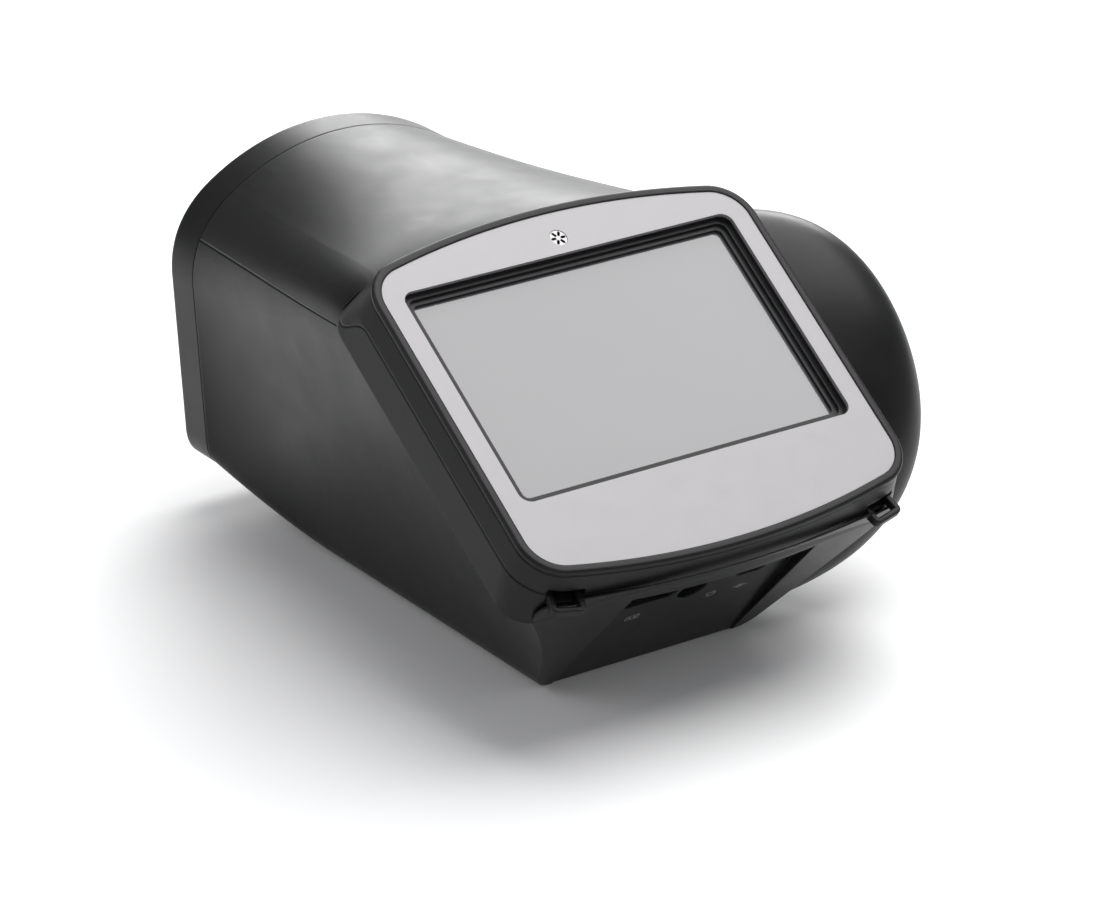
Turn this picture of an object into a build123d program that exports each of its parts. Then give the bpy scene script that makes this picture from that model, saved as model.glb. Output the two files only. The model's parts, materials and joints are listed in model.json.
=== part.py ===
from build123d import *
import os
from math import cos, pi, radians, sin, sqrt

os.makedirs("parts", exist_ok=True)

# Hand-held photorefractor: an operator's display at the back, an infrared window at the
# front, a dome-shaped grip on the operator's right.  Millimetres.
# +Y points at the patient, +X to the operator's right, +Z up.
# The origin is the mouth of the tripod socket, on the plane the object stands on.

# ---------------------------------------------------------------- housing, seen from the side
front_y = 109.0  # front rim of the ring
seam_y = 95.0  # seam between the ring and the two shells
corner_y = -5.0  # where the shoulders reach the display's upper corners
base_rear_y = -62.0  # rear edge of the base
chin_y = 50.0  # where the underside starts to rise to the ring
foot_proud = 0.8  # rubber feet below the shell
chin_rise = 14.2  # underside of the ring above the base
wall = 2.6  # shell wall
gap = 0.1  # clearance between parts that are only placed together
seam = 0.3  # visible seam between housing parts

# ---------------------------------------------------------------- housing, seen from the front
base_half = 37.5  # half width of the base
ring_base_half = 50.5  # half width of the ring's underside
ring_half = 55.2  # half width of the ring at its shoulder
ring_shoulder_z = 90.8
ring_crown = 25.2  # rise of the arched top above the shoulder
rear_half = 67.5  # half width at the display
rear_shoulder_z = 110.2
rear_crown = 6.8
top_sag = 0.3  # hollow of the top line between ring and display
shoulder_round = 16.0
base_round = 5.0
shoulder_blend = 9.0
crest_margin = 11.0  # shoulder corner above the crest line, cut away by the display end
seam_z_front = 91.2  # side seam of the two shells, at the ring
seam_z_rear = 98.4  # the same seam at the display's corner

# ---------------------------------------------------------------- display end
display_y = -55.0
display_z = 93.0
display_angle = 55.5  # elevation of the display's normal
plate_half = 63.4
plate_top = 51.3
plate_bottom = 65.0
plate_arc = 256.0  # radius of the arched top and bottom edges
plate_corner = 11.0
plate_t = 1.2
lip = 2.8  # bead round the faceplate
lip_h = 1.4
lip_round = 1.1
groove = 0.5  # shadow groove under the bead
flare = 4.1  # skirt beyond the faceplate, at the parting line
skirt = 9.0  # parting line below the faceplate
skirt_spread = 0.1  # widening of the skirt per millimetre below the parting line
skirt_round = 9.5  # its corners at the crest line
skirt_corner = 18.5  # the same line under the upper corners
crest = 20.5  # crest line of the lower shell below the faceplate
bezel_face = 3.8  # plastic under the faceplate
bezel_wall = 3.1
opening_w = 114.4
opening_h = 74.4
opening_corner = 3.6
gasket_step = 1.6
gasket_w = 107.6
gasket_h = 68.4
gasket_depth = 4.4
touch_t = 1.1
touch_w = 117.0
touch_h = 77.0
lcd_w = 120.4
lcd_h = 75.8
lcd_t = 3.4
bracket_t = 1.0
grille_v = 42.6
grille_r = 2.7
grille_slots = 6
speaker_r = 3.9
speaker_v = 43.6
speaker_t = 3.2

# ---------------------------------------------------------------- port panel under the display
panel_angle = 49.8  # slope of the recessed panel
cheek_v = 70.0  # underside of the display end at the parting line
cheek_taper = 0.18  # rise of that underside towards the base
panel_top = 57.5  # upper end of the sunk panel, in the band under the bezel
panel_half = 32.0
panel_wall = 5.4
pocket_reach = 9.0  # clear room kept in front of the ports
pocket_depth = 3.0
port_up = 46.5  # ports above the base's rear edge, along the panel
usb_x = -17.3
usb_w = 13.1
usb_h = 5.7
usb_sheet = 0.35
jack_x = 18.0
jack_r = 4.0
jack_bore_r = 2.8
jack_pin_r = 1.0
button_x = -1.7
button_up = 41.2
button_r = 3.15
button_proud = 0.8  # cap above the floor of its pocket
button_fit = 0.08  # radial running clearance
button_travel = 0.6
button_flange_r = 4.3
switch_w = 6.0
switch_h = 3.6
plunger_r = 1.7
plunger_fit = 0.06
board_t = 1.6
io_depth = 16.0  # face of the port board behind the panel
io_w = 58.0
io_h = 30.0

# ---------------------------------------------------------------- side grip
grip_root_x = 50.0
grip_end_x = 104.4
grip_y = -28.0
grip_z = 52.8
grip_short = 30.8  # half axes of the root ellipse
grip_long = 57.5
grip_tilt = 38.8  # lean of the long axis towards the front
grip_shift_y = -14.6  # centre of the outer end against the root
grip_shift_z = 16.5
grip_power = 2.5  # fullness of the dome
grip_wall = 2.8

# ---------------------------------------------------------------- front end
ring_wall = 4.0
window_t = 2.8
window_recess = 1.2
flange_t = 3.0
flange_in = 15.0
led_board_in = 9.0
window_shelf = 2.4  # ledge behind the window
lens_z = 65.0
lens_clear = 2.0  # lens barrel to its hole in the light board
led_r = 2.4
led_h = 3.2
infrared_rings = ((25.0, 14), (31.0, 18))  # radius and number of each ring of lights
fixation_ring = (37.0, 8)

# ---------------------------------------------------------------- camera
barrel_r = 17.0
barrel_wall = 2.0
barrel_rear_y = 56.0
barrel_front_y = 101.0
barrel_floor = 2.0
front_lens_edge = 3.0
rear_lens_edge = 2.4
lens_bulge = 1.6
front_lens_y = 95.0
rear_lens_y = 62.5
retainer_t = 2.0
camera_plate_t = 4.0
camera_plate_w = 46.0
camera_foot_z = 8.5
camera_foot_l = 17.0
camera_board_w = 40.0
sensor_w = 11.0
sensor_t = 1.5

# ---------------------------------------------------------------- main board, battery, base
main_n = 30.0  # main board below the faceplate
main_w = 96.0
main_low = -28.0
main_high = 38.0
battery_w = 38.0
battery_l = 68.0
battery_h = 19.0
battery_z = 12.5
battery_mid_y = -6.0
socket_r = 3.175  # 1/4 inch tripod thread
socket_l = 7.5
insert_r = 4.8
foot_r = 4.5
foot_t = 1.6
foot_x = 26.0
foot_y = (-52.0, 42.0)
clip_t = 1.0
clip_l = 22.0
clip_foot = 8.5
clip_y = -18.0
rib_t = 2.0
shield_w = 34.0
shield_h = 4.0
spacer_r = 2.6
spacer_x = 43.0
screw_r = 1.5
head_r = 2.75
head_h = 2.0
small_r = 1.0  # small screws
small_head_r = 1.9
small_head_h = 1.3
thread_fit = 0.02  # screw in its moulded hole
post_r = 4.6
post_x = 26.0
post_y = 16.0
post_head_z = 82.0
ring_screw_low = (39.0, 28.0)
ring_screw_high = (33.0, 96.3)
bezel_screw_low = (51.0, -49.0)
bezel_screw_high = (49.0, 42.8)
bezel_screw_l = 12.0
bezel_post_low = 18.0  # depth of the posts' ends below the faceplate's front
bezel_post_high = 33.5
bracket_screw = (20.0, 42.0)
io_screw = (25.5, 11.5)  # from the middle of the port board
grip_screw_spots = ((-45.0, 38.0), (-6.0, 74.0))
grip_screw_l = 13.0
grip_seat = 3.0

loop_x = 55.8  # strap loops under the bezel's lower corners
loop_w = 10.7
loop_h = 13.0
loop_t = 2.6
loop_bar = 1.9
loop_edge = 68.4  # outer bar below the display's centre
loop_turn = 13.0  # the loops follow the arched lower edge
notch_h = 1.8  # notch above each loop

# levels below the faceplate's front, stacked with small gaps
gasket_back = gasket_depth
touch_front = gasket_back + gap
touch_back = touch_front + touch_t
lcd_front = touch_back + gap
lcd_back = lcd_front + lcd_t
bracket_front = lcd_back + gap
bracket_back = bracket_front + bracket_t

# ---------------------------------------------------------------- directions and planes
up_slope = (0.0, sin(radians(display_angle)), cos(radians(display_angle)))
outward = (0.0, -cos(radians(display_angle)), sin(radians(display_angle)))
display_centre = (0.0, display_y, display_z)
display_plane = Plane(origin=display_centre, x_dir=(1, 0, 0), z_dir=outward)
display_side = Plane(origin=display_centre, x_dir=up_slope, z_dir=(1, 0, 0))
panel_out = (0.0, -sin(radians(panel_angle)), -cos(radians(panel_angle)))
panel_plane = Plane(origin=(0, base_rear_y, foot_proud), x_dir=(1, 0, 0), z_dir=panel_out)
far = 200.0  # larger than the object


def soft_min(a, b, width):
    """The smaller of a and b, rounded where they cross."""
    return (a + b - sqrt((a - b) ** 2 + width**2)) / 2


def crest_z(y):
    """Height of the display end's crest line at station y."""
    return (display_z * up_slope[1] + (y - display_y) * up_slope[2] - crest) / up_slope[1]


def hull_section(y, inset=0.0):
    """Cross-section of the housing at station y, moved inward by inset."""
    run = (seam_y - y) / (seam_y - corner_y)
    swell = 16 * top_sag * (run * (1 - run)) ** 2 if run < 1 else 0
    rise = max(0.0, (y - chin_y) / (seam_y - chin_y)) ** 2
    half = soft_min(ring_half + (rear_half - ring_half) * run, rear_half + 0.4, 1.2) - inset
    front_z = ring_shoulder_z + (rear_shoulder_z - ring_shoulder_z) * run - swell
    corner_z = soft_min(front_z, crest_z(y) + crest_margin, shoulder_blend) - inset
    crown = ring_crown + (rear_crown - ring_crown) * soft_min(run, 1.0, 0.3)
    low_half = base_half + (ring_base_half - base_half) * rise - inset
    low_z = foot_proud + chin_rise * rise + inset

    radius = (half**2 + crown**2) / (2 * crown)
    side = max(shoulder_round - inset, 4.0)
    top_x = half - side
    top_z = corner_z + crown - radius + sqrt(radius**2 - top_x**2)
    fall = -top_x / sqrt(radius**2 - top_x**2)
    lean = (half - low_half) / (corner_z - low_z)
    turn_x = (half + lean * (top_z - fall * top_x - corner_z)) / (1 - lean * fall)
    turn_z = top_z + fall * (turn_x - top_x)
    wall_top_z = corner_z - 0.9 * side
    wall_top_x = half - lean * 0.9 * side
    low_round = max(base_round * (1 + rise) - inset, 1.5)
    wall_low_z = low_z + low_round
    wall_low_x = low_half + lean * low_round

    with BuildSketch(Plane.XZ.offset(-y)) as section:
        with BuildLine():
            ThreePointArc((-top_x, top_z), (0, corner_z + crown), (top_x, top_z))
            Bezier((top_x, top_z), (turn_x, turn_z), (wall_top_x, wall_top_z))
            Line((wall_top_x, wall_top_z), (wall_low_x, wall_low_z))
            Bezier((wall_low_x, wall_low_z), (low_half, low_z), (low_half - low_round, low_z))
            Line((low_half - low_round, low_z), (low_round - low_half, low_z))
            Bezier((low_round - low_half, low_z), (-low_half, low_z), (-wall_low_x, wall_low_z))
            Line((-wall_low_x, wall_low_z), (-wall_top_x, wall_top_z))
            Bezier((-wall_top_x, wall_top_z), (-turn_x, turn_z), (-top_x, top_z))
        make_face()
    return section.sketch


def display_outline(grow, height, corner=None):
    """Outline of the faceplate grown by grow, at a height along the display's normal."""
    half = plate_half + grow
    radius = plate_arc + grow
    drop = radius - sqrt(radius**2 - half**2)
    top = plate_top + grow
    bottom = plate_bottom + grow
    with BuildSketch(display_plane.offset(height)) as outline:
        with BuildLine():
            ThreePointArc((-half, top - drop), (0, top), (half, top - drop))
            Line((half, top - drop), (half, drop - bottom))
            ThreePointArc((half, drop - bottom), (0, -bottom), (-half, drop - bottom))
            Line((-half, drop - bottom), (-half, top - drop))
        make_face()
        fillet(outline.vertices(), corner or plate_corner + grow)
    return outline.sketch


def crest_outline(grow, height):
    """Outline of the flared skirt at the crest line."""
    return display_outline(flare + skirt_spread * (crest - skirt) + grow, height, skirt_round + grow)


def frame_sketch(width, height, corner, level):
    """Rounded rectangle on the display, at a level along its normal."""
    with BuildSketch(display_plane.offset(level)) as frame:
        RectangleRounded(width, height, corner)
    return frame.sketch


def skirt_line(shift):
    """Region on the operator's side of the bezel's parting line, seen from the side."""
    line = -skirt + shift
    corner = -skirt_corner + shift
    with BuildSketch(display_side) as region:
        with BuildLine():
            Line((-far, line), (33.0, line))
            Bezier((33.0, line), (39.0, line), (39.0, corner), (45.0, corner))
            Polyline((45.0, corner), (far, corner), (far, far), (-far, far), (-far, line))
        make_face()
    return region.sketch


def side_seam(shift):
    """Region above the seam between the two shells, seen from the side."""
    slope = (seam_z_rear - seam_z_front) / (seam_y - corner_y)
    rear_z = seam_z_front + slope * (seam_y + far) + shift
    front_z = seam_z_front + slope * (seam_y - far) + shift
    with BuildSketch(Plane.YZ) as region:
        with BuildLine():
            Polyline((-far, rear_z), (far, front_z), (far, far), (-far, far), (-far, rear_z))
        make_face()
    return region.sketch


def seam_height(y):
    """Height of the seam between the two shells at station y."""
    return seam_z_front + (seam_z_rear - seam_z_front) * (seam_y - y) / (seam_y - corner_y)


def grip_section(x, inset=0.0):
    """Elliptical cross-section of the grip's dome at x."""
    share = max(0.0, (x - grip_root_x) / (grip_end_x - inset - grip_root_x))
    size = max(1 - share**grip_power, 0.0) ** (1 / grip_power)
    centre = (x, grip_y + grip_shift_y * share, grip_z + grip_shift_z * share)
    along = (0, sin(radians(grip_tilt)), cos(radians(grip_tilt)))
    with BuildSketch(Plane(origin=centre, x_dir=along, z_dir=(1, 0, 0))) as section:
        Ellipse((grip_long - inset) * size, (grip_short - inset) * size)
    return section.sketch


def side_x(y, z):
    """Half width of the housing's side wall at station y and height z."""
    run = (seam_y - y) / (seam_y - corner_y)
    half = soft_min(ring_half + (rear_half - ring_half) * run, rear_half + 0.4, 1.2)
    front_z = ring_shoulder_z + (rear_shoulder_z - ring_shoulder_z) * run
    corner_z = soft_min(front_z, crest_z(y) + crest_margin, shoulder_blend)
    return base_half + (half - base_half) * (z - foot_proud) / (corner_z - foot_proud)


def ring_section(y, inset=0.0):
    """Cross-section of the front ring, which keeps the shape of its seam."""
    return hull_section(seam_y, inset).moved(Location((0, y - seam_y, 0)))


def screw(plane, spots, radius, length, head_radius, head_height):
    """Pan-head screws whose heads rest on a plane and whose shafts run against its normal."""
    with BuildPart() as screws:
        with BuildSketch(plane):
            with Locations(*spots):
                Circle(head_radius)
        extrude(amount=head_height)
        with BuildSketch(plane):
            with Locations(*spots):
                Circle(radius)
        extrude(amount=-length)
        with BuildSketch(plane.offset(head_height)):
            with Locations(*spots):
                RegularPolygon(0.5 * head_radius, 6)
        extrude(amount=-0.6 * head_height, mode=Mode.SUBTRACT)
    return screws.part


def mirrored(*spots):
    """Each spot on both sides of the middle plane."""
    return [(side * x, other) for side in (-1, 1) for x, other in spots]


def lens_disc(y, radius, edge):
    """Biconvex lens centred at y on the optical axis."""
    with BuildPart() as disc:
        with BuildSketch(Plane(origin=(0, y, lens_z), x_dir=(1, 0, 0), z_dir=(0, 0, 1))):
            with BuildLine():
                bulge_y = edge / 2 + lens_bulge
                cap = (radius**2 + lens_bulge**2) / (2 * lens_bulge)
                RadiusArc((0, -bulge_y), (radius, -edge / 2), -cap)
                Line((radius, -edge / 2), (radius, edge / 2))
                RadiusArc((radius, edge / 2), (0, bulge_y), -cap)
                Line((0, bulge_y), (0, -bulge_y))
            make_face()
        revolve(axis=Axis((0, 0, lens_z), (0, 1, 0)))
    return disc.part


def keep(piece, name):
    """Label a finished piece and write it as its own file."""
    piece.label = name
    export_step(piece, f"parts/{name}.step")


# ---------------------------------------------------------------- shapes shared by the housing
stations = (seam_y, 80, 65, chin_y, 35, 20, 5, -10, -25, -40, -55, -70, -85, -100, -115)

with BuildPart() as hull:
    loft([hull_section(y) for y in stations])
    with BuildSketch(Plane.XY.offset(foot_proud - 1.0)):
        Rectangle(4 * far, 4 * far)
    extrude(amount=-far, mode=Mode.SUBTRACT)

with BuildPart() as hollow:
    loft([hull_section(y, wall) for y in stations])

with BuildPart() as underside:
    # everything below the sloping underside of the display end
    for height, bow in ((15.0, 245.0), (-76.0, 4000.0)):
        edge = cheek_v + cheek_taper * (height + skirt)
        side = edge - bow + sqrt(bow**2 - 90.0**2)
        with BuildSketch(display_plane.offset(height)):
            with BuildLine():
                ThreePointArc((-90.0, -side), (0, -edge), (90.0, -side))
                Polyline((90.0, -side), (90.0, -far), (-90.0, -far), (-90.0, -side))
            make_face()
    loft(ruled=True)

with BuildPart() as display_space:
    # the room inside the display end; its floor is the lower shell's, open over the housing
    space_top = -plate_t - bezel_face
    extrude(display_outline(flare - bezel_wall, wall - crest), crest - wall + space_top)

with BuildPart() as cavity:
    add(hollow.part)
    add(display_space.part)
    with BuildSketch(panel_plane.offset(-panel_wall)):
        Rectangle(2 * far, 2 * far)
    extrude(amount=far, mode=Mode.SUBTRACT)

with BuildPart() as flared_skirt:
    loft([crest_outline(0, -crest), display_outline(flare, -skirt)], ruled=True)

with BuildPart() as band:
    # the lower shell's flared band between the crest line and the bezel
    add(flared_skirt.part)
    extrude(skirt_line(-seam), far, both=True, mode=Mode.SUBTRACT)
    with BuildSketch(display_side):
        with Locations((45.0, 0)):
            Rectangle(far, 2 * far, align=(Align.MIN, Align.CENTER))
    extrude(amount=far, both=True, mode=Mode.SUBTRACT)

# ---------------------------------------------------------------- upper shell
with BuildPart() as upper_bosses:
    with BuildSketch(Plane.XY.offset(seam_height(post_y) + seam)):
        with Locations((-post_x, post_y), (post_x, post_y)):
            Circle(post_r - 0.6)
    extrude(amount=far / 2)
    with BuildSketch(Plane.XZ.offset(-seam_y + seam)):
        with Locations(*mirrored(ring_screw_high)):
            Rectangle(5 * screw_r, far / 4, align=(Align.CENTER, Align.MIN))
            Circle(2.5 * screw_r)
    extrude(amount=10.0)
    add(hull.part, mode=Mode.INTERSECT)

with BuildPart() as upper_shell:
    add(hull.part)
    extrude(crest_outline(seam, -crest - seam), far, mode=Mode.SUBTRACT)
    extrude(side_seam(seam / 2), far, both=True, mode=Mode.INTERSECT)
    add(cavity.part, mode=Mode.SUBTRACT)
    add(upper_bosses.part)
    with Locations((-post_x, post_y, 0), (post_x, post_y, 0)):
        Cylinder(screw_r + thread_fit, post_head_z + 25.0, align=(Align.CENTER, Align.CENTER, Align.MIN),
                 mode=Mode.SUBTRACT)
    with BuildSketch(Plane.XZ.offset(-seam_y)):
        with Locations(*mirrored(ring_screw_high)):
            Circle(screw_r + thread_fit)
    extrude(amount=9.0, mode=Mode.SUBTRACT)
keep(upper_shell.part, "upper_shell")

# ---------------------------------------------------------------- lower shell
with BuildPart() as lower_bosses:
    # posts for the long screws, socket boss, blocks for the ring and bezel screws
    with BuildSketch(Plane.XY):
        with Locations((-post_x, post_y), (post_x, post_y)):
            Circle(post_r)
    extrude(amount=seam_height(post_y))
    with BuildSketch(Plane.XY):
        Circle(insert_r + 2.4)
    extrude(amount=foot_proud + wall + socket_l - 1.0)
    with BuildSketch(Plane.XZ.offset(-seam_y + seam)):
        with Locations(*mirrored(ring_screw_low)):
            Rectangle(5 * screw_r, far / 4, align=(Align.CENTER, Align.MAX))
            Circle(2.5 * screw_r)
    extrude(amount=10.0)
    for (x, v), post_end in ((bezel_screw_low, bezel_post_low), (bezel_screw_high, bezel_post_high)):
        with BuildSketch(display_plane.offset(-post_end)):
            with Locations((-x, v), (x, v)):
                Circle(2.5 * screw_r)
        extrude(amount=post_end - plate_t - bezel_face - gap)
        with BuildSketch(display_plane.offset(-post_end)):
            with Locations((-x - far / 8, v), (x + far / 8, v)):
                Rectangle(far / 4, 5 * screw_r)
        extrude(amount=6.0)
    # posts of the port board
    with BuildSketch(panel_plane.offset(-panel_wall + 1.0)):
        with Locations(*[(x, port_up + up) for x in (-io_screw[0], io_screw[0])
                         for up in (-io_screw[1], io_screw[1])]):
            Circle(2.6 * small_r)
    extrude(amount=-(io_depth - panel_wall + 1.0))
    # ribs under the battery, feet of its clip and of the camera bracket
    with BuildSketch(Plane.XY):
        with Locations((0, battery_mid_y - 0.38 * battery_l), (0, battery_mid_y + 0.3 * battery_l)):
            Rectangle(battery_w - 4.0, rib_t)
    extrude(amount=battery_z - gap)
    with BuildSketch(Plane.XY):
        with Locations(*mirrored((battery_w / 2 + clip_foot / 2 + clip_t, clip_y))):
            Circle(2.4 * screw_r)
    extrude(amount=foot_proud + wall + 3.0)
    with BuildSketch(Plane.XY):
        with Locations(*mirrored((camera_plate_w / 2 - 7.0, barrel_rear_y + camera_foot_l / 2))):
            Circle(2.4 * screw_r)
    extrude(amount=camera_foot_z)
    # seats of the grip screws
    for y, z in grip_screw_spots:
        with BuildSketch(Plane.YZ.offset(side_x(y, z) - wall - grip_seat)):
            with Locations((y, z)):
                Circle(head_r + 1.4)
        extrude(amount=far / 8)

with BuildPart() as lower_body:
    add(hull.part)
    extrude(crest_outline(0, -crest), far, mode=Mode.SUBTRACT)
    extrude(side_seam(-seam / 2), far, both=True, mode=Mode.SUBTRACT)
    add(band.part)
    add(underside.part, mode=Mode.SUBTRACT)
    with BuildSketch(panel_plane):
        with Locations((0, panel_top)):
            Rectangle(2 * panel_half, panel_top + 10.0, align=(Align.CENTER, Align.MAX))
    extrude(amount=far, mode=Mode.SUBTRACT)

with BuildPart() as boss_room:
    # where bosses may stand: inside the housing, on either side of the bezel's parting line
    add(hull.part)
    extrude(display_outline(flare - bezel_wall / 2, -crest), far, mode=Mode.SUBTRACT)
    extrude(display_outline(flare - bezel_wall - gap, -crest), crest - plate_t - bezel_face - gap)
    extrude(display_outline(flare - gap, -crest), crest - skirt - 2 * seam)
    add(underside.part, mode=Mode.SUBTRACT)
    with BuildSketch(panel_plane):
        with Locations((0, panel_top)):
            Rectangle(2 * panel_half, panel_top + 10.0, align=(Align.CENTER, Align.MAX))
    extrude(amount=far, mode=Mode.SUBTRACT)
    add(lower_bosses.part, mode=Mode.INTERSECT)

with BuildPart() as loop_places:
    # the strap loops' outer shapes, both sides
    for side in (-1, 1):
        with BuildSketch(display_plane.offset(-skirt - gap)):
            with Locations(Location((side * loop_x, -loop_edge, 0), side * loop_turn)):
                Rectangle(loop_w, loop_h, align=(Align.CENTER, Align.MIN))
        extrude(amount=-loop_t)
    outer_edges = loop_places.edges().filter_by(Axis((0, 0, 0), outward)).group_by(
        Axis((0, 0, 0), up_slope))[0:2]
    fillet([edge for group in outer_edges for edge in group], loop_bar)

with BuildPart() as lower_shell:
    add(lower_body.part)
    add(cavity.part, mode=Mode.SUBTRACT)
    add(boss_room.part)
    # pockets and openings of the ports
    with BuildSketch(panel_plane.offset(pocket_reach)):
        with Locations((usb_x, port_up)):
            RectangleRounded(usb_w + 5.0, usb_h + 5.0, 2.0)
        with Locations((jack_x, port_up)):
            RectangleRounded(2 * jack_r + 3.0, 2 * jack_r + 2.4, 3.0)
        with Locations((button_x, button_up)):
            Circle(button_r + 1.6)
    extrude(amount=-pocket_depth - pocket_reach, mode=Mode.SUBTRACT)
    with BuildSketch(panel_plane):
        with Locations((usb_x, port_up)):
            Rectangle(usb_w + 2 * gap, usb_h + 2 * gap)
        with Locations((jack_x, port_up)):
            Circle(jack_r + gap)
        with Locations((button_x, button_up)):
            Circle(button_r + button_fit)
    extrude(amount=-panel_wall - 4.0, mode=Mode.SUBTRACT)
    # wells and holes of the long screws
    with Locations((-post_x, post_y, 0), (post_x, post_y, 0)):
        Cylinder(head_r + 0.4, post_head_z, align=(Align.CENTER, Align.CENTER, Align.MIN),
                 mode=Mode.SUBTRACT)
        Cylinder(screw_r + gap, seam_height(post_y), mode=Mode.SUBTRACT,
                 align=(Align.CENTER, Align.CENTER, Align.MIN))
    # tripod socket and feet
    Cylinder(insert_r, foot_proud + wall + socket_l, mode=Mode.SUBTRACT,
             align=(Align.CENTER, Align.CENTER, Align.MIN))
    with Locations([(x, y, 0) for x in (-foot_x, foot_x) for y in foot_y]):
        Cylinder(foot_r + gap, foot_t, align=(Align.CENTER, Align.CENTER, Align.MIN),
                 mode=Mode.SUBTRACT)
    # holes for the ring screws and the bezel screws
    with BuildSketch(Plane.XZ.offset(-seam_y)):
        with Locations(*mirrored(ring_screw_low)):
            Circle(screw_r + thread_fit)
    extrude(amount=9.0, mode=Mode.SUBTRACT)
    with BuildSketch(display_plane):
        with Locations(*mirrored(bezel_screw_low, bezel_screw_high)):
            Circle(screw_r + thread_fit)
    extrude(amount=-plate_t - bezel_screw_l - 3.0, mode=Mode.SUBTRACT)
    # holes for the port board, battery clip, camera bracket and grip screws
    with BuildSketch(panel_plane.offset(-io_depth)):
        with Locations(*[(x, port_up + up) for x in (-io_screw[0], io_screw[0])
                         for up in (-io_screw[1], io_screw[1])]):
            Circle(small_r + thread_fit)
    extrude(amount=8.0, mode=Mode.SUBTRACT)
    with BuildSketch(Plane.XY.offset(foot_proud + 1.2)):
        with Locations(*mirrored((battery_w / 2 + clip_foot / 2 + clip_t, clip_y),
                                 (camera_plate_w / 2 - 7.0, barrel_rear_y + camera_foot_l / 2))):
            Circle(screw_r + thread_fit)
    extrude(amount=20.0, mode=Mode.SUBTRACT)
    for y, z in grip_screw_spots:
        with BuildSketch(Plane.YZ.offset(side_x(y, z) - wall - grip_seat - 1.0)):
            with Locations((y, z)):
                Circle(screw_r + gap)
        extrude(amount=20.0, mode=Mode.SUBTRACT)
    # seats of the strap loops
    add(loop_places.part, mode=Mode.SUBTRACT)
keep(lower_shell.part, "lower_shell")

# ---------------------------------------------------------------- strap loops
for side, name in ((-1, "strap_loop_left"), (1, "strap_loop_right")):
    with BuildPart() as strap_loop:
        add(loop_places.part)
        with BuildSketch(Plane.YZ):
            Rectangle(4 * far, 4 * far)
        extrude(amount=-side * far, mode=Mode.SUBTRACT)
        with BuildSketch(display_plane.offset(-skirt)):
            with Locations(Location((side * loop_x, -loop_edge, 0), side * loop_turn)):
                with Locations((0, loop_bar)):
                    Rectangle(loop_w - 2 * loop_bar, loop_h - 2.4 * loop_bar,
                              align=(Align.CENTER, Align.MIN))
        extrude(amount=-2 * loop_t, mode=Mode.SUBTRACT)
        flat_faces = strap_loop.faces().filter_by(Axis((0, 0, 0), outward))
        fillet(flat_faces.edges(), 0.5)
    keep(strap_loop.part, name)

# ---------------------------------------------------------------- display bezel
with BuildPart() as display_bezel:
    neck = -lip_h - 2 * groove
    add(flared_skirt.part)
    loft([display_outline(flare, -skirt), display_outline(lip - 0.3, neck)], ruled=True)
    extrude(display_outline(lip - groove, neck), 2 * groove)
    extrude(display_outline(lip, -lip_h), lip_h + 0.3)
    rim = display_bezel.faces().filter_by(lambda face: face.normal_at().dot(Vector(*outward)) > 0.99)
    fillet(rim.sort_by(Axis(display_centre, outward))[-1].edges(), lip_round)
    extrude(skirt_line(0.0), far, both=True, mode=Mode.INTERSECT)
    extrude(display_outline(gap, -plate_t), far / 10, mode=Mode.SUBTRACT)
    add(cavity.part, mode=Mode.SUBTRACT)
    extrude(frame_sketch(touch_w + 2.0, touch_h + 2.0, 3.0, 0), -crest, mode=Mode.SUBTRACT)
    # posts for the display bracket, holes for the speaker and the screws
    with BuildSketch(display_plane.offset(-plate_t - bezel_face / 2)):
        with Locations(*mirrored(bracket_screw, (bracket_screw[0], -bracket_screw[1]))):
            Circle(2.6 * small_r)
    extrude(amount=-(lcd_back - gap - plate_t - bezel_face / 2))
    with BuildSketch(display_plane.offset(-plate_t - bezel_face / 2)):
        with Locations(*mirrored(bracket_screw, (bracket_screw[0], -bracket_screw[1]))):
            Circle(small_r + thread_fit)
    extrude(amount=-crest, mode=Mode.SUBTRACT)
    with BuildSketch(display_plane):
        with Locations((0, grille_v)):
            Circle(grille_r + gap)
        with Locations(*mirrored(bezel_screw_low, bezel_screw_high)):
            Circle(screw_r + gap)
    extrude(amount=-plate_t - bezel_face - 1.0, mode=Mode.SUBTRACT)
    with BuildSketch(display_plane):
        with Locations(*mirrored(bezel_screw_low, bezel_screw_high)):
            Circle(head_r + gap)
    extrude(amount=-plate_t - head_h - gap, mode=Mode.SUBTRACT)
    # the loops pass through notches in the skirt
    for side in (-1, 1):
        with BuildSketch(display_plane.offset(-skirt - gap)):
            with Locations(Location((side * loop_x, -loop_edge, 0), side * loop_turn)):
                Rectangle(loop_w + 1.0, loop_h, align=(Align.CENTER, Align.MIN))
        extrude(amount=notch_h, taper=14, mode=Mode.SUBTRACT)
keep(display_bezel.part, "display_bezel")

# ---------------------------------------------------------------- faceplate, gasket, display
with BuildPart() as faceplate:
    extrude(display_outline(0.0, -plate_t), plate_t)
    extrude(frame_sketch(opening_w, opening_h, opening_corner, 0), -far / 10, mode=Mode.SUBTRACT)
    with BuildSketch(display_plane):
        with Locations((0, grille_v)):
            Circle(grille_r + gap / 2)
    extrude(amount=-far / 10, mode=Mode.SUBTRACT)
keep(faceplate.part, "faceplate")

with BuildPart() as speaker_grille:
    with BuildSketch(display_plane.offset(-plate_t - 1.0)):
        with Locations((0, grille_v)):
            Circle(grille_r)
            with PolarLocations(0.58 * grille_r, grille_slots):
                SlotOverall(0.62 * grille_r, 0.3 * grille_r, mode=Mode.SUBTRACT)
    extrude(amount=plate_t + 1.0 - 0.15)
keep(speaker_grille.part, "speaker_grille")

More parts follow.
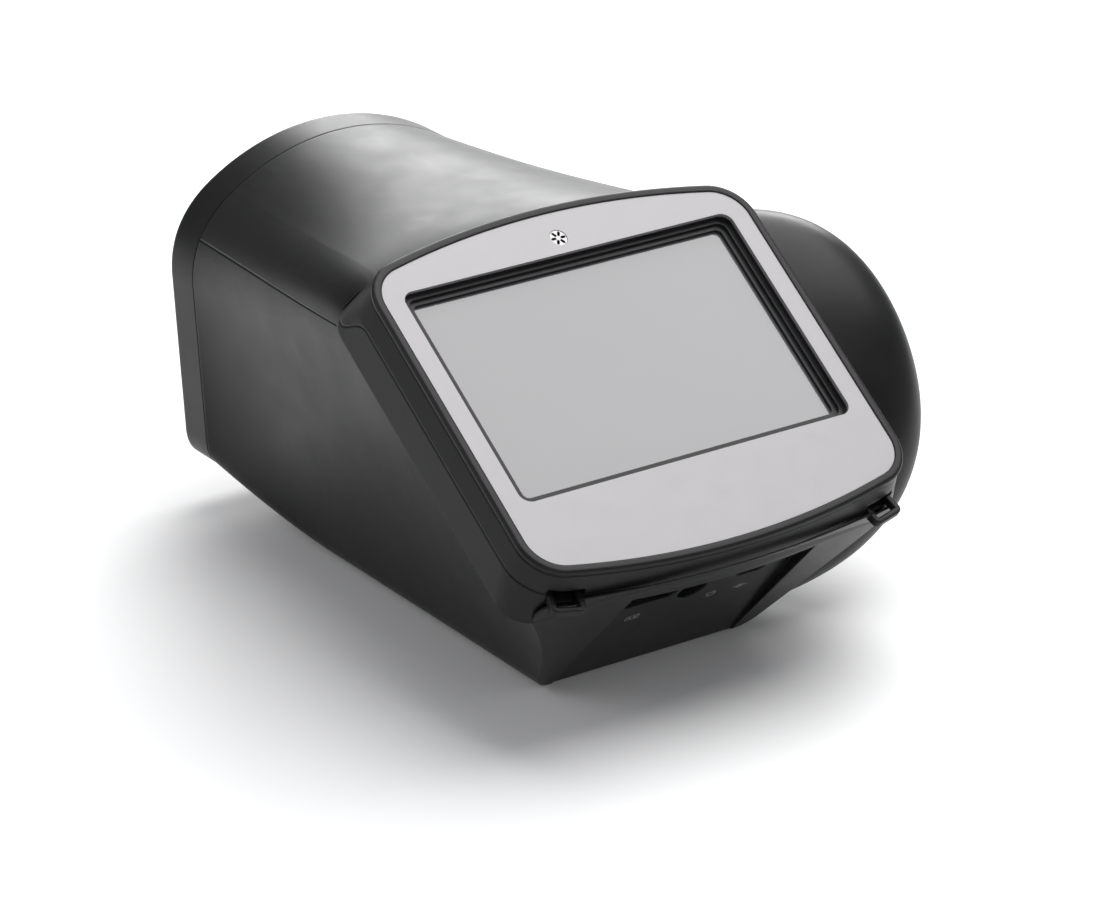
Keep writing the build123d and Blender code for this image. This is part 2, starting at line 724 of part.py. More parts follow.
with BuildPart() as speaker:
    with BuildSketch(display_plane.offset(-plate_t - bezel_face - gap)):
        with Locations((0, speaker_v)):
            Circle(speaker_r)
    extrude(amount=-speaker_t)
keep(speaker.part, "speaker")

with BuildPart() as screen_gasket:
    gasket_top = -plate_t - gap
    gasket_tall = gasket_back + gasket_top
    extrude(frame_sketch(touch_w + 1.6, touch_h + 1.6, 2.8, gasket_top), -gasket_tall)
    extrude(frame_sketch(gasket_w, gasket_h, 2.0, 0), -far / 10, mode=Mode.SUBTRACT)
    for share in (1, 2):
        step = share * gasket_step
        level = gasket_top - gasket_tall * (1 - share / 3)
        extrude(frame_sketch(gasket_w + 2 * step, gasket_h + 2 * step * 0.9, 2.0 + step / 2, level),
                far / 10, mode=Mode.SUBTRACT)
keep(screen_gasket.part, "screen_gasket")

with BuildPart() as touch_panel:
    extrude(frame_sketch(touch_w, touch_h, 1.5, -touch_front), -touch_t)
keep(touch_panel.part, "touch_panel")

with BuildPart() as lcd_panel:
    extrude(frame_sketch(lcd_w, lcd_h, 0.8, -lcd_front), -lcd_t)
keep(lcd_panel.part, "lcd_panel")

with BuildPart() as display_bracket:
    extrude(frame_sketch(lcd_w + 1.6, lcd_h + 1.2, 2.0, -bracket_front), -bracket_t)
    with BuildSketch(display_plane.offset(-bracket_front)):
        with Locations((-bracket_screw[0], 0), (bracket_screw[0], 0)):
            Rectangle(8.0, 2 * bracket_screw[1] + 6.0)
    extrude(amount=-bracket_t)
    with BuildSketch(display_plane):
        with Locations(*mirrored(bracket_screw, (bracket_screw[0], -bracket_screw[1]))):
            Circle(small_r + gap)
        with GridLocations(40.0, 34.0, 2, 2):
            RectangleRounded(26.0, 20.0, 4.0)
    extrude(amount=-2 * crest, mode=Mode.SUBTRACT)
keep(display_bracket.part, "display_bracket")

behind = Plane(origin=display_centre, x_dir=(-1, 0, 0), z_dir=tuple(-c for c in outward))
keep(screw(behind.offset(bracket_back), mirrored(bracket_screw, (bracket_screw[0], -bracket_screw[1])),
           small_r, 4.5, small_head_r, small_head_h), "bracket_screws")
keep(screw(display_plane.offset(-plate_t - head_h - gap), mirrored(bezel_screw_low, bezel_screw_high),
           screw_r, bezel_screw_l, head_r, head_h - gap), "bezel_screws")

# ---------------------------------------------------------------- main board
spacer_spots = mirrored((spacer_x, main_low + 6.0), (spacer_x, main_high - 6.0))
with BuildPart() as board_spacers:
    with BuildSketch(display_plane.offset(-bracket_back)):
        with Locations(*spacer_spots):
            Circle(spacer_r)
            Circle(small_r + thread_fit, mode=Mode.SUBTRACT)
    extrude(amount=-(main_n - bracket_back))
keep(board_spacers.part, "board_spacers")

with BuildPart() as main_board:
    with BuildSketch(display_plane.offset(-main_n)):
        with Locations((0, (main_low + main_high) / 2)):
            RectangleRounded(main_w, main_high - main_low, 2.0)
        with Locations(*spacer_spots):
            Circle(small_r + gap, mode=Mode.SUBTRACT)
    extrude(amount=-board_t)
keep(main_board.part, "main_board")

with BuildPart() as processor_shield:
    with BuildSketch(display_plane.offset(-main_n - board_t)):
        with Locations((0, (main_low + main_high) / 2)):
            RectangleRounded(shield_w, shield_w, 1.5)
    extrude(amount=-shield_h)
    with BuildSketch(display_plane.offset(-main_n - board_t)):
        with Locations((0, (main_low + main_high) / 2)):
            RectangleRounded(shield_w - 1.0, shield_w - 1.0, 1.0)
    extrude(amount=-shield_h + 0.5, mode=Mode.SUBTRACT)
keep(processor_shield.part, "processor_shield")
keep(screw(behind.offset(main_n + board_t), spacer_spots, small_r, 7.0, small_head_r, small_head_h),
     "main_board_screws")

# ---------------------------------------------------------------- front ring, window, lights
ring_back = seam_y + seam
window_back = front_y - window_recess - window_t
with BuildPart() as front_ring:
    extrude(ring_section(ring_back), -(front_y - ring_back))
    fillet(front_ring.faces().sort_by(Axis.Y)[-1].edges(), 2.0)
    extrude(ring_section(front_y + 1.0, ring_wall), front_y + 1.0 - window_back, mode=Mode.SUBTRACT)
    extrude(ring_section(window_back + 1.0, ring_wall + window_shelf),
            window_back + 1.0 - ring_back - flange_t, mode=Mode.SUBTRACT)
    extrude(ring_section(front_y, flange_in), far, mode=Mode.SUBTRACT)
    with BuildSketch(Plane.XZ.offset(-ring_back - flange_t)):
        with Locations(*mirrored(ring_screw_low, ring_screw_high)):
            Circle(screw_r + gap)
    extrude(amount=far / 10, mode=Mode.SUBTRACT)
    with BuildSketch(Plane.XZ.offset(-ring_back - flange_t)):
        with Locations(*mirrored(ring_screw_low, ring_screw_high)):
            Circle(head_r + gap)
    extrude(amount=head_h + gap, mode=Mode.SUBTRACT)
keep(front_ring.part, "front_ring")
front = Plane(origin=(0, 0, 0), x_dir=(-1, 0, 0), z_dir=(0, 1, 0))
keep(screw(front.offset(ring_back + flange_t - head_h - gap),
           mirrored(ring_screw_low, ring_screw_high),
           screw_r, 8.5, head_r, head_h - gap), "ring_screws")

with BuildPart() as front_window:
    extrude(ring_section(window_back + window_t, ring_wall + gap), window_t)
keep(front_window.part, "front_window")

with BuildPart() as light_board:
    extrude(ring_section(ring_back + flange_t + board_t, led_board_in), board_t)
    with BuildSketch(front):
        with Locations((0, lens_z)):
            Circle(barrel_r + lens_clear)
    extrude(amount=far, mode=Mode.SUBTRACT)
keep(light_board.part, "light_board")

light_back = ring_back + flange_t + board_t
for name, rings in (("infrared_lights", infrared_rings), ("fixation_lights", (fixation_ring,))):
    with BuildPart() as lights:
        with BuildSketch(front.offset(light_back)):
            with Locations((0, lens_z)):
                for ring_radius, count in rings:
                    with PolarLocations(ring_radius, count, start_angle=180 / count):
                        Circle(led_r)
        extrude(amount=led_h)
        fillet(lights.faces().filter_by(Axis.Y).group_by(Axis.Y)[-1].edges(), 0.8 * led_r)
    keep(lights.part, name)

# ---------------------------------------------------------------- camera
with BuildPart() as lens_barrel:
    for start, length, radius, mode in (
        (barrel_rear_y, barrel_front_y - barrel_rear_y, barrel_r, Mode.ADD),
        (barrel_rear_y + barrel_floor, far, barrel_r - barrel_wall, Mode.SUBTRACT),
        (barrel_rear_y, far, 0.5 * barrel_r, Mode.SUBTRACT),
    ):
        with BuildSketch(front.offset(start)):
            with Locations((0, lens_z)):
                Circle(radius)
        extrude(amount=length, mode=mode)
keep(lens_barrel.part, "lens_barrel")

lens_r = barrel_r - barrel_wall - thread_fit
keep(lens_disc(front_lens_y, lens_r, front_lens_edge), "front_lens")
keep(lens_disc(rear_lens_y, lens_r, rear_lens_edge), "rear_lens")
with BuildPart() as lens_retainer:
    with BuildSketch(front.offset(front_lens_y + front_lens_edge / 2 + 0.4 * lens_bulge)):
        with Locations((0, lens_z)):
            Circle(lens_r)
            Circle(lens_r - 2.2, mode=Mode.SUBTRACT)
            with PolarLocations(lens_r, 4):
                Rectangle(2.0, 2.0, mode=Mode.SUBTRACT)
    extrude(amount=retainer_t)
keep(lens_retainer.part, "lens_retainer")

camera_spots = mirrored((camera_board_w / 2 - 3.0, lens_z - camera_board_w / 2 + 3.0),
                        (camera_board_w / 2 - 3.0, lens_z + camera_board_w / 2 - 3.0))
foot_spots = mirrored((camera_plate_w / 2 - 7.0, barrel_rear_y + camera_foot_l / 2))
with BuildPart() as camera_bracket:
    with BuildSketch(front.offset(barrel_rear_y - camera_plate_t)):
        with Locations((0, lens_z)):
            Rectangle(camera_plate_w, camera_plate_w)
        with Locations((0, camera_foot_z)):
            Rectangle(camera_plate_w, lens_z - camera_foot_z, align=(Align.CENTER, Align.MIN))
    extrude(amount=camera_plate_t)
    with BuildSketch(Plane.XY.offset(camera_foot_z)):
        with Locations((0, barrel_rear_y)):
            Rectangle(camera_plate_w, camera_foot_l, align=(Align.CENTER, Align.MIN))
        with Locations(*foot_spots):
            Circle(screw_r + gap, mode=Mode.SUBTRACT)
    extrude(amount=2.5)
    with BuildSketch(front.offset(barrel_rear_y - camera_plate_t)):
        with Locations((0, lens_z)):
            Circle(0.8 * sensor_w)
        with Locations(*camera_spots):
            Circle(small_r + thread_fit)
    extrude(amount=camera_plate_t, mode=Mode.SUBTRACT)
keep(camera_bracket.part, "camera_bracket")
keep(screw(Plane.XY.offset(camera_foot_z + 2.5), foot_spots, screw_r, 7.5, head_r, head_h),
     "camera_bracket_screws")

board_front = barrel_rear_y - camera_plate_t
with BuildPart() as camera_board:
    with BuildSketch(front.offset(board_front)):
        with Locations((0, lens_z)):
            RectangleRounded(camera_board_w, camera_board_w, 1.5)
        with Locations(*camera_spots):
            Circle(small_r + gap, mode=Mode.SUBTRACT)
    extrude(amount=-board_t)
keep(camera_board.part, "camera_board")
with BuildPart() as image_sensor:
    with BuildSketch(front.offset(board_front)):
        with Locations((0, lens_z)):
            Rectangle(sensor_w, sensor_w)
    extrude(amount=sensor_t)
keep(image_sensor.part, "image_sensor")
rearward = Plane(origin=(0, 0, 0), x_dir=(1, 0, 0), z_dir=(0, -1, 0))
keep(screw(rearward.offset(-board_front + board_t), camera_spots, small_r, 4.6,
           small_head_r, small_head_h), "camera_board_screws")

# ---------------------------------------------------------------- battery
with BuildPart() as battery_pack:
    with BuildSketch(Plane.XZ.offset(-battery_mid_y)):
        with Locations((0, battery_z + battery_h / 2)):
            RectangleRounded(battery_w, battery_h, 0.45 * battery_h)
    extrude(amount=battery_l / 2, both=True)
keep(battery_pack.part, "battery_pack")

clip_spots = mirrored((battery_w / 2 + clip_foot / 2 + clip_t, clip_y))
clip_floor = foot_proud + wall + 3.0
with BuildPart() as battery_clip:
    with BuildSketch(Plane.XZ.offset(-clip_y)):
        with BuildLine():
            inner = battery_w / 2 + gap
            tall = battery_z + battery_h + gap
            outer = inner + clip_t
            reach = inner + clip_t + clip_foot
            Polyline((-reach, clip_floor), (-inner, clip_floor), (-inner, tall), (inner, tall),
                     (inner, clip_floor), (reach, clip_floor), (reach, clip_floor + clip_t),
                     (outer, clip_floor + clip_t), (outer, tall + clip_t), (-outer, tall + clip_t),
                     (-outer, clip_floor + clip_t), (-reach, clip_floor + clip_t),
                     (-reach, clip_floor))
        make_face()
    extrude(amount=clip_l / 2, both=True)
    with BuildSketch(Plane.XY):
        with Locations(*clip_spots):
            Circle(screw_r + gap)
    extrude(amount=clip_floor + clip_t, mode=Mode.SUBTRACT)
keep(battery_clip.part, "battery_clip")
keep(screw(Plane.XY.offset(clip_floor + clip_t), clip_spots, screw_r, 5.0, head_r, head_h),
     "battery_clip_screws")

# ---------------------------------------------------------------- base
with BuildPart() as tripod_insert:
    with BuildSketch(Plane.XY.offset(foot_proud)):
        Circle(insert_r)
        Circle(socket_r, mode=Mode.SUBTRACT)
    extrude(amount=socket_l)
keep(tripod_insert.part, "tripod_insert")

with BuildPart() as rubber_feet:
    with BuildSketch(Plane.XY):
        with Locations([(x, y) for x in (-foot_x, foot_x) for y in foot_y]):
            Circle(foot_r)
    extrude(amount=foot_t)
    fillet(rubber_feet.edges().group_by(Axis.Z)[0], 0.4)
keep(rubber_feet.part, "rubber_feet")
downward = Plane(origin=(0, 0, 0), x_dir=(1, 0, 0), z_dir=(0, 0, -1))
keep(screw(downward.offset(-post_head_z), [(-post_x, -post_y), (post_x, -post_y)], screw_r, 21.0,
           head_r, head_h), "housing_screws")

# ---------------------------------------------------------------- ports
io_face = -io_depth
mouth = -pocket_depth - 0.2
io_spots = [(x, port_up + up) for x in (-io_screw[0], io_screw[0])
            for up in (-io_screw[1], io_screw[1])]
with BuildPart() as port_board:
    with BuildSketch(panel_plane.offset(io_face)):
        with Locations((0, port_up)):
            RectangleRounded(io_w, io_h, 2.0)
        with Locations(*io_spots):
            Circle(small_r + gap, mode=Mode.SUBTRACT)
    extrude(amount=-board_t)
keep(port_board.part, "port_board")
inside = Plane(origin=panel_plane.origin, x_dir=(-1, 0, 0), z_dir=-panel_plane.z_dir)
keep(screw(inside.offset(io_depth + board_t), io_spots, small_r, 7.0, small_head_r, small_head_h),
     "port_board_screws")

with BuildPart() as usb_shell:
    with BuildSketch(panel_plane.offset(io_face)):
        with Locations((usb_x, port_up)):
            RectangleRounded(usb_w, usb_h, 0.6)
            Rectangle(usb_w - 2 * usb_sheet, usb_h - 2 * usb_sheet, mode=Mode.SUBTRACT)
    extrude(amount=mouth - io_face)
keep(usb_shell.part, "usb_shell")
with BuildPart() as usb_tongue:
    with BuildSketch(panel_plane.offset(io_face)):
        with Locations((usb_x, port_up)):
            Rectangle(usb_w - 2 * usb_sheet - gap, usb_h - 2 * usb_sheet - gap)
    extrude(amount=3.0)
    with BuildSketch(panel_plane.offset(io_face + 3.0)):
        with Locations((usb_x, port_up + 0.2 * usb_h)):
            Rectangle(0.85 * usb_w, 0.3 * usb_h)
    extrude(amount=mouth - 1.0 - io_face - 3.0)
keep(usb_tongue.part, "usb_tongue")

with BuildPart() as dc_jack:
    with BuildSketch(panel_plane.offset(io_face)):
        with Locations((jack_x, port_up)):
            Rectangle(2 * jack_r + 1.0, 2 * jack_r + 1.0)
    extrude(amount=io_depth - panel_wall - gap)
    with BuildSketch(panel_plane.offset(io_face)):
        with Locations((jack_x, port_up)):
            Circle(jack_r)
    extrude(amount=mouth - io_face)
    with BuildSketch(panel_plane.offset(mouth - 9.5)):
        with Locations((jack_x, port_up)):
            Circle(jack_bore_r)
    extrude(amount=far / 10, mode=Mode.SUBTRACT)
keep(dc_jack.part, "dc_jack")
with BuildPart() as dc_jack_pin:
    with BuildSketch(panel_plane.offset(mouth - 9.5)):
        with Locations((jack_x, port_up)):
            Circle(jack_pin_r)
    extrude(amount=8.0)
keep(dc_jack_pin.part, "dc_jack_pin")

switch_face = io_face + switch_h
plunger_top = switch_face + button_travel + 0.1
with BuildPart() as power_button:
    for start, end, radius in (
        (-panel_wall - gap - 1.0, -pocket_depth + button_proud, button_r),
        (-panel_wall - gap - 1.0, -panel_wall - gap, button_flange_r),
        (plunger_top + gap, -panel_wall - gap, 0.5 * button_r),
    ):
        with BuildSketch(panel_plane.offset(start)):
            with Locations((button_x, button_up)):
                Circle(radius)
        extrude(amount=end - start)
    cap_edges = power_button.edges().sort_by(Axis(panel_plane.origin, panel_plane.z_dir))[-1:]
    fillet(cap_edges, 0.5)
    with BuildSketch(panel_plane.offset(-pocket_depth + button_proud)):
        with Locations((button_x, button_up)):
            Circle(0.6 * button_r)
    extrude(amount=-0.8, mode=Mode.SUBTRACT)
keep(power_button.part, "power_button")
with BuildPart() as button_lens:
    with BuildSketch(panel_plane.offset(-pocket_depth + button_proud - 0.8)):
        with Locations((button_x, button_up)):
            Circle(0.6 * button_r - thread_fit)
    extrude(amount=1.0)
    fillet(button_lens.edges().sort_by(Axis(panel_plane.origin, panel_plane.z_dir))[-1:], 0.4)
keep(button_lens.part, "button_lens")
with BuildPart() as switch_body:
    with BuildSketch(panel_plane.offset(io_face)):
        with Locations((button_x, button_up)):
            Rectangle(switch_w, switch_w)
    extrude(amount=switch_h)
    with BuildSketch(panel_plane.offset(switch_face)):
        with Locations((button_x, button_up)):
            Circle(plunger_r + plunger_fit)
    extrude(amount=-switch_h + 0.8, mode=Mode.SUBTRACT)
keep(switch_body.part, "switch_body")
with BuildPart() as switch_plunger:
    with BuildSketch(panel_plane.offset(plunger_top)):
        with Locations((button_x, button_up)):
            Circle(plunger_r)
    extrude(amount=-(plunger_top - switch_face) - 1.8)
keep(switch_plunger.part, "switch_plunger")

# ---------------------------------------------------------------- side grip
grip_tip = (grip_end_x, grip_y + grip_shift_y, grip_z + grip_shift_z)
grip_places = (30.0, grip_root_x, 60.0, 70.0, 79.0, 87.0, 93.0, 98.0, 101.5)
with BuildPart() as grip_dome:
    loft([grip_section(x) for x in grip_places] + [Vertex(*grip_tip)])
with BuildPart() as grip_room:
    inner_places = [x for x in grip_places if x < grip_end_x - 2 * grip_wall]
    loft([grip_section(x, grip_wall) for x in inner_places]
         + [Vertex(grip_end_x - grip_wall, *grip_tip[1:])])
with BuildPart() as grip_posts:
    for y, z in grip_screw_spots:
        with BuildSketch(Plane.YZ.offset(grip_places[0])):
            with Locations((y, z)):
                Circle(2.4 * screw_r)
        extrude(amount=far / 2)
    add(grip_dome.part, mode=Mode.INTERSECT)
with BuildPart() as side_grip:
    add(grip_dome.part)
    add(grip_room.part, mode=Mode.SUBTRACT)
    add(grip_posts.part)
    add(hull.part, mode=Mode.SUBTRACT)
    extrude(crest_outline(seam, -crest - seam), far, mode=Mode.SUBTRACT)
    with BuildSketch(Plane.YZ):
        Rectangle(4 * far, 4 * far)
    extrude(amount=0.6 * base_half, mode=Mode.SUBTRACT)
    for y, z in grip_screw_spots:
        with BuildSketch(Plane.YZ):
            with Locations((y, z)):
                Circle(screw_r + thread_fit)
        extrude(amount=side_x(y, z) + grip_screw_l - 1.0, mode=Mode.SUBTRACT)
keep(side_grip.part, "side_grip")
with BuildPart() as grip_screws:
    for y, z in grip_screw_spots:
        seat = Plane(origin=(side_x(y, z) - wall - grip_seat, y, z), x_dir=(0, 1, 0), z_dir=(-1, 0, 0))
        add(screw(seat, [(0, 0)], screw_r, grip_screw_l, head_r, head_h))
keep(grip_screws.part, "grip_screws")
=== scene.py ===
import bmesh
import bpy
import json
from math import cos, radians, sin
from mathutils import Matrix, Vector


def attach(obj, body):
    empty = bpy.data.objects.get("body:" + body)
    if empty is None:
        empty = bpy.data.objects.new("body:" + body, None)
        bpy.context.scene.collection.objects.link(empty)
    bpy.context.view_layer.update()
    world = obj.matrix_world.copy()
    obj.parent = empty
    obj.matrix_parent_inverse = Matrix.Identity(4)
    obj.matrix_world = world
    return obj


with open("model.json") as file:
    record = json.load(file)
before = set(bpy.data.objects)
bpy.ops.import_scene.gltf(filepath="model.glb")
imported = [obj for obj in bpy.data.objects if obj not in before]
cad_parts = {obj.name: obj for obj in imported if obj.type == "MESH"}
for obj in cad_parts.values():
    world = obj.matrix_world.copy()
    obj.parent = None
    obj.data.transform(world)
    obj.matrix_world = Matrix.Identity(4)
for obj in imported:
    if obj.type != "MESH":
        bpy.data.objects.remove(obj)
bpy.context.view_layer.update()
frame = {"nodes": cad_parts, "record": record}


# ---------------------------------------------------------------- material helpers
NOISE_LOW, NOISE_HIGH = 0.3, 0.7  # span that the noise mostly fills
TINT_LOW, TINT_HIGH = 0.35, 0.65  # where the two tints begin and end in it
BROAD_RATIO = 30.0  # how much coarser the uneven patches are than the fine grain
PLASTIC_IOR = 1.46
POLISH_SCALE = 90.0  # faint waves in polished glass, per metre
POLISH_SPREAD = 0.02


def new_material(name):
    """An empty node material with one principled shader."""
    mat = bpy.data.materials.new(name)
    mat.use_nodes = True
    tree = mat.node_tree
    tree.nodes.clear()
    out = tree.nodes.new("ShaderNodeOutputMaterial")
    shader = tree.nodes.new("ShaderNodeBsdfPrincipled")
    tree.links.new(shader.outputs["BSDF"], out.inputs["Surface"])
    return mat, tree, shader


def grain(tree, scale, detail=2.0):
    """Fine noise in object space, in features per metre."""
    place = tree.nodes.new("ShaderNodeTexCoord")
    noise = tree.nodes.new("ShaderNodeTexNoise")
    noise.inputs["Scale"].default_value = scale
    noise.inputs["Detail"].default_value = detail
    noise.inputs["Roughness"].default_value = 0.55
    tree.links.new(place.outputs["Object"], noise.inputs["Vector"])
    return noise


def spread(tree, source, low, high):
    """Map a texture to a range of values."""
    ramp = tree.nodes.new("ShaderNodeMapRange")
    ramp.inputs["From Min"].default_value = NOISE_LOW
    ramp.inputs["From Max"].default_value = NOISE_HIGH
    ramp.inputs["To Min"].default_value = low
    ramp.inputs["To Max"].default_value = high
    tree.links.new(source, ramp.inputs["Value"])
    return ramp.outputs["Result"]


def tint(tree, source, dark, light):
    """Blend two colours by a texture."""
    ramp = tree.nodes.new("ShaderNodeValToRGB")
    ramp.color_ramp.elements[0].position = TINT_LOW
    ramp.color_ramp.elements[0].color = (*dark, 1.0)
    ramp.color_ramp.elements[1].position = TINT_HIGH
    ramp.color_ramp.elements[1].color = (*light, 1.0)
    tree.links.new(source, ramp.inputs["Fac"])
    return ramp.outputs["Color"]


def relief(tree, shader, source, depth, strength, edge=0.0):
    """Bump from a texture, over edges softened by a small radius."""
    bump = tree.nodes.new("ShaderNodeBump")
    bump.inputs["Strength"].default_value = strength
    bump.inputs["Distance"].default_value = depth
    tree.links.new(source, bump.inputs["Height"])
    if edge:
        soft = tree.nodes.new("ShaderNodeBevel")
        soft.samples = 6
        soft.inputs["Radius"].default_value = edge
        tree.links.new(soft.outputs["Normal"], bump.inputs["Normal"])
    tree.links.new(bump.outputs["Normal"], shader.inputs["Normal"])


def surface(name, dark, light, rough, metal=0.0, scale=1500.0, depth=0.00004, strength=0.25,
            edge=0.0003, coat=0.0, coat_rough=0.1, shine=0.5, glow=0.0):
    """A solid finish: two close tints, uneven roughness, fine relief and softened edges."""
    mat, tree, shader = new_material(name)
    fine = grain(tree, scale)
    broad = grain(tree, scale / BROAD_RATIO, 3.0)
    tree.links.new(tint(tree, broad.outputs["Fac"], dark, light), shader.inputs["Base Color"])
    tree.links.new(spread(tree, broad.outputs["Fac"], rough[0], rough[1]),
                   shader.inputs["Roughness"])
    shader.inputs["Metallic"].default_value = metal
    shader.inputs["IOR"].default_value = PLASTIC_IOR
    shader.inputs["Coat Weight"].default_value = coat
    shader.inputs["Coat Roughness"].default_value = coat_rough
    shader.inputs["Specular IOR Level"].default_value = shine
    shader.inputs["Emission Color"].default_value = (1.0, 1.0, 1.0, 1.0)
    shader.inputs["Emission Strength"].default_value = glow
    relief(tree, shader, fine.outputs["Fac"], depth, strength, edge)
    return mat


def clear(name, colour, rough, transmission, ior=1.5):
    """Glass or epoxy, with faint unevenness in its polish."""
    mat, tree, shader = new_material(name)
    fine = grain(tree, POLISH_SCALE)
    shader.inputs["Base Color"].default_value = (*colour, 1.0)
    tree.links.new(spread(tree, fine.outputs["Fac"], rough, rough + POLISH_SPREAD),
                   shader.inputs["Roughness"])
    shader.inputs["Transmission Weight"].default_value = transmission
    shader.inputs["IOR"].default_value = ior
    return mat


# ---------------------------------------------------------------- finishes by record slot
finishes = {
    "black_shell": surface("black_textured", (0.0055, 0.0055, 0.0057), (0.0075, 0.0075, 0.0077),
                           (0.36, 0.42), scale=2400.0, depth=0.00006, strength=0.30,
                           edge=0.0009, shine=0.27),
    "silver_plate": surface("silver_satin", (0.288, 0.280, 0.286), (0.304, 0.296, 0.302),
                            (0.40, 0.46), metal=0.35, scale=5200.0, depth=0.00001,
                            strength=0.12, edge=0.0002),
    "gasket": surface("gasket_black", (0.008, 0.008, 0.009), (0.012, 0.012, 0.013), (0.34, 0.42),
                      scale=3000.0, edge=0.0002, shine=0.3),
    "screen_glass": surface("screen_glass", (0.128, 0.122, 0.129), (0.134, 0.128, 0.135),
                            (0.20, 0.23), scale=400.0, depth=0.000002, strength=0.05,
                            edge=0.0001, coat=1.0, coat_rough=0.05),
    "lcd": surface("lcd_grey", (0.12, 0.12, 0.13), (0.13, 0.13, 0.14), (0.25, 0.3)),
    "grille": surface("grille_steel", (0.20, 0.20, 0.20), (0.26, 0.26, 0.26), (0.26, 0.34),
                      metal=1.0, scale=4000.0, edge=0.0001),
    "speaker": surface("speaker_cone", (0.03, 0.03, 0.03), (0.05, 0.05, 0.05), (0.6, 0.7)),
    "sheet_metal": surface("sheet_steel", (0.55, 0.55, 0.55), (0.62, 0.62, 0.62), (0.28, 0.4),
                           metal=1.0, scale=900.0, edge=0.0002),
    "screws": surface("zinc_screw", (0.42, 0.42, 0.43), (0.52, 0.52, 0.53), (0.25, 0.36),
                      metal=1.0, scale=2200.0, edge=0.0002),
    "board": surface("solder_mask", (0.008, 0.085, 0.035), (0.015, 0.11, 0.05), (0.22, 0.34),
                     scale=900.0, edge=0.0001, coat=0.4, coat_rough=0.2),
    "brass": surface("turned_brass", (0.60, 0.42, 0.16), (0.70, 0.50, 0.22), (0.22, 0.32),
                     metal=1.0, scale=2400.0, edge=0.0002),
    "dark_window": clear("infrared_window", (0.10, 0.006, 0.012), 0.02, 0.92),
    "infrared": clear("infrared_epoxy", (0.12, 0.05, 0.14), 0.05, 0.75),
    "fixation": surface("fixation_epoxy", (0.72, 0.70, 0.58), (0.78, 0.76, 0.64), (0.2, 0.28),
                        scale=700.0, edge=0.0001, coat=0.6),
    "optics": clear("coated_lens", (0.80, 0.88, 0.92), 0.01, 1.0, 1.6),
    "anodised": surface("black_anodised", (0.018, 0.018, 0.02), (0.026, 0.026, 0.028),
                        (0.34, 0.44), metal=0.6, scale=3200.0, edge=0.0002),
    "sensor": surface("sensor_die", (0.03, 0.03, 0.05), (0.05, 0.04, 0.07), (0.1, 0.16),
                      coat=1.0, scale=600.0),
    "battery": surface("battery_film", (0.05, 0.09, 0.22), (0.06, 0.11, 0.26), (0.22, 0.32),
                       scale=500.0, coat=0.4),
    "rubber": surface("foot_rubber", (0.012, 0.012, 0.012), (0.02, 0.02, 0.02), (0.65, 0.8),
                      scale=2600.0, strength=0.5),
    "plated": surface("nickel_plate", (0.66, 0.65, 0.62), (0.72, 0.71, 0.68), (0.14, 0.24),
                      metal=1.0, scale=1800.0, depth=0.00001, edge=0.0001),
    "usb_insulator": surface("usb_white", (0.74, 0.74, 0.74), (0.8, 0.8, 0.8), (0.3, 0.38),
                             edge=0.0001),
    "connector": surface("connector_black", (0.012, 0.012, 0.012), (0.018, 0.018, 0.018),
                         (0.28, 0.36), edge=0.0002),
    "button": surface("button_black", (0.018, 0.018, 0.02), (0.024, 0.024, 0.026), (0.26, 0.34),
                      scale=2600.0, edge=0.0003),
    "indicator": surface("indicator_green", (0.05, 0.42, 0.10), (0.08, 0.50, 0.14), (0.2, 0.28),
                         edge=0.0002, coat=0.8),
    "print_white": surface("print_white", (0.20, 0.20, 0.205), (0.24, 0.24, 0.245), (0.5, 0.6),
                           scale=4000.0, edge=0.0),
}

slots = {entry["node"]: entry["material_slot"] for entry in frame["record"]["subparts"]}
for name, piece in frame["nodes"].items():
    piece.data.materials.clear()
    piece.data.materials.append(finishes[slots[name]])

# ---------------------------------------------------------------- pictograms by the ports
PANEL = radians(49.8)
PANEL_FOOT = Vector((0.0, -0.062, 0.0008))
PANEL_UP = Vector((0.0, -cos(PANEL), sin(PANEL)))
PANEL_OUT = Vector((0.0, -sin(PANEL), -cos(PANEL)))
PANEL_FRAME = Matrix((
    (1.0, 0.0, 0.0, PANEL_FOOT.x),
    (0.0, PANEL_UP.y, PANEL_OUT.y, PANEL_FOOT.y),
    (0.0, PANEL_UP.z, PANEL_OUT.z, PANEL_FOOT.z),
    (0.0, 0.0, 0.0, 1.0),
))
INK = 0.00004  # thickness of the print


def strip(mesh, inner, outer, closed):
    """A flat band between two rows of points, raised by the ink's thickness."""
    rows = []
    for level in (0.0, INK):
        rows.append([(mesh.verts.new((a[0], a[1], level)), mesh.verts.new((b[0], b[1], level)))
                     for a, b in zip(inner, outer)])
    low, high = rows
    count = len(inner)
    for i in range(count if closed else count - 1):
        j = (i + 1) % count
        mesh.faces.new((high[i][0], high[i][1], high[j][1], high[j][0]))
        mesh.faces.new((low[i][0], low[j][0], low[j][1], low[i][1]))
        mesh.faces.new((low[i][1], low[j][1], high[j][1], high[i][1]))
        mesh.faces.new((low[j][0], low[i][0], high[i][0], high[j][0]))
    if not closed:
        for k in (0, count - 1):
            mesh.faces.new((low[k][0], low[k][1], high[k][1], high[k][0]))


def arc(mesh, x, y, radius, width, start=0.0, end=360.0, steps=40):
    """A ring, or a part of one, of the given line width; angles in degrees."""
    closed = end - start >= 360.0
    count = steps if closed else steps + 1
    angles = [radians(start + (end - start) * i / steps) for i in range(count)]
    near = radius - width / 2
    far = radius + width / 2
    inner = [(x + near * cos(t), y + near * sin(t)) for t in angles]
    outer = [(x + far * cos(t), y + far * sin(t)) for t in angles]
    strip(mesh, inner, outer, closed)


